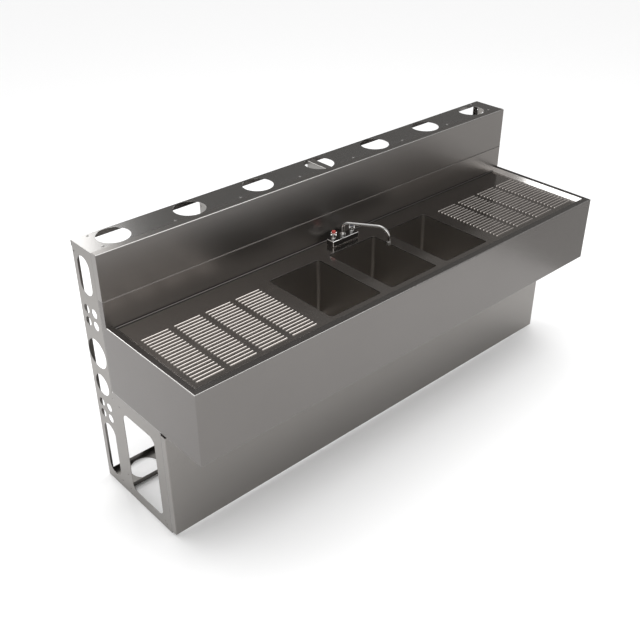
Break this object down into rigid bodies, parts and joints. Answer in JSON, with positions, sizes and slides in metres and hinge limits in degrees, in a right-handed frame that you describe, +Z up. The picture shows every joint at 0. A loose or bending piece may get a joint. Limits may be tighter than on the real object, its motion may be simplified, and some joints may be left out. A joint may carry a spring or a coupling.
{
  "type": "bar sink",
  "caption": "Bar sink with three bowls between two ribbed drainboards, a deck faucet, a raised utility chase with service holes and a recessed pedestal base.",
  "frame": {"origin": "floor level, in the middle of the length and of the depth", "axes": "+X along the length to the right as a user faces it, +Y to the back where the chase stands, +Z up"},
  "size_m": [2.1336, 0.6792, 1.0428],
  "materials": {
    "frame_sheet": "satin",
    "sink_sheet": "satin",
    "fastener": "plain",
    "drain_steel": "polished",
    "seal_rubber": "matte",
    "brass": "plain",
    "faucet_chrome": "polished",
    "hot_mark": "gloss",
    "cold_mark": "gloss"
  },
  "bodies": {
    "root": {"left_side_plate": "frame_sheet", "right_side_plate": "frame_sheet", "top_cap": "frame_sheet", "bottom_pan": "frame_sheet", "chase_front_panel": "sink_sheet", "left_upright": "frame_sheet", "centre_upright": "frame_sheet", "right_upright": "frame_sheet", "cap_screws": "fastener", "backsplash": "sink_sheet", "front_apron": "sink_sheet", "left_end_panel": "sink_sheet", "right_end_panel": "sink_sheet", "left_drainboard": "sink_sheet", "right_drainboard": "sink_sheet", "bowl_deck": "sink_sheet", "left_bowl": "sink_sheet", "centre_bowl": "sink_sheet", "right_bowl": "sink_sheet", "left_deck_brace": "frame_sheet", "right_deck_brace": "frame_sheet", "base_skirt": "frame_sheet", "left_drain": "drain_steel", "centre_drain": "drain_steel", "right_drain": "drain_steel", "left_drain_gasket": "seal_rubber", "centre_drain_gasket": "seal_rubber", "right_drain_gasket": "seal_rubber", "left_drain_locknut": "brass", "centre_drain_locknut": "brass", "right_drain_locknut": "brass", "faucet_body": "faucet_chrome", "faucet_gasket": "seal_rubber", "shank_washers": "seal_rubber", "shank_locknuts": "brass", "hot_bonnet": "faucet_chrome", "cold_bonnet": "faucet_chrome", "spout_nut": "faucet_chrome"},
    "hot_valve": {"hot_stem": "brass", "hot_handle": "faucet_chrome", "hot_handle_screw": "fastener", "hot_index_cap": "hot_mark"},
    "cold_valve": {"cold_stem": "brass", "cold_handle": "faucet_chrome", "cold_handle_screw": "fastener", "cold_index_cap": "cold_mark"},
    "swivel_spout": {"spout": "faucet_chrome", "spout_seals": "seal_rubber", "aerator_shell": "faucet_chrome", "aerator_screen": "drain_steel"},
    "left_drain_strainer": {"left_strainer": "drain_steel"},
    "centre_drain_strainer": {"centre_strainer": "drain_steel"},
    "right_drain_strainer": {"right_strainer": "drain_steel"}
  },
  "joints": [
    {"name": "hot_handle_turn", "type": "hinge", "parent": "root", "child": "hot_valve", "pos_m": [-0.0508, 0.12799, 0.79], "axis": [0, 0, 1], "range_deg": [0, 90]},
    {"name": "cold_handle_turn", "type": "hinge", "parent": "root", "child": "cold_valve", "pos_m": [0.0508, 0.12799, 0.79], "axis": [0, 0, 1], "range_deg": [-90, 0]},
    {"name": "spout_swivel", "type": "hinge", "parent": "root", "child": "swivel_spout", "pos_m": [0, 0.12799, 0.7674], "axis": [0, 0, 1], "range_deg": [-125, 55]},
    {"name": "left_strainer_lift", "type": "slide", "parent": "root", "child": "left_drain_strainer", "axis": [0, 0, 1], "range_m": [0, 0.3]},
    {"name": "centre_strainer_lift", "type": "slide", "parent": "root", "child": "centre_drain_strainer", "axis": [0, 0, 1], "range_m": [0, 0.3]},
    {"name": "right_strainer_lift", "type": "slide", "parent": "root", "child": "right_drain_strainer", "axis": [0, 0, 1], "range_m": [0, 0.3]}
  ]
}
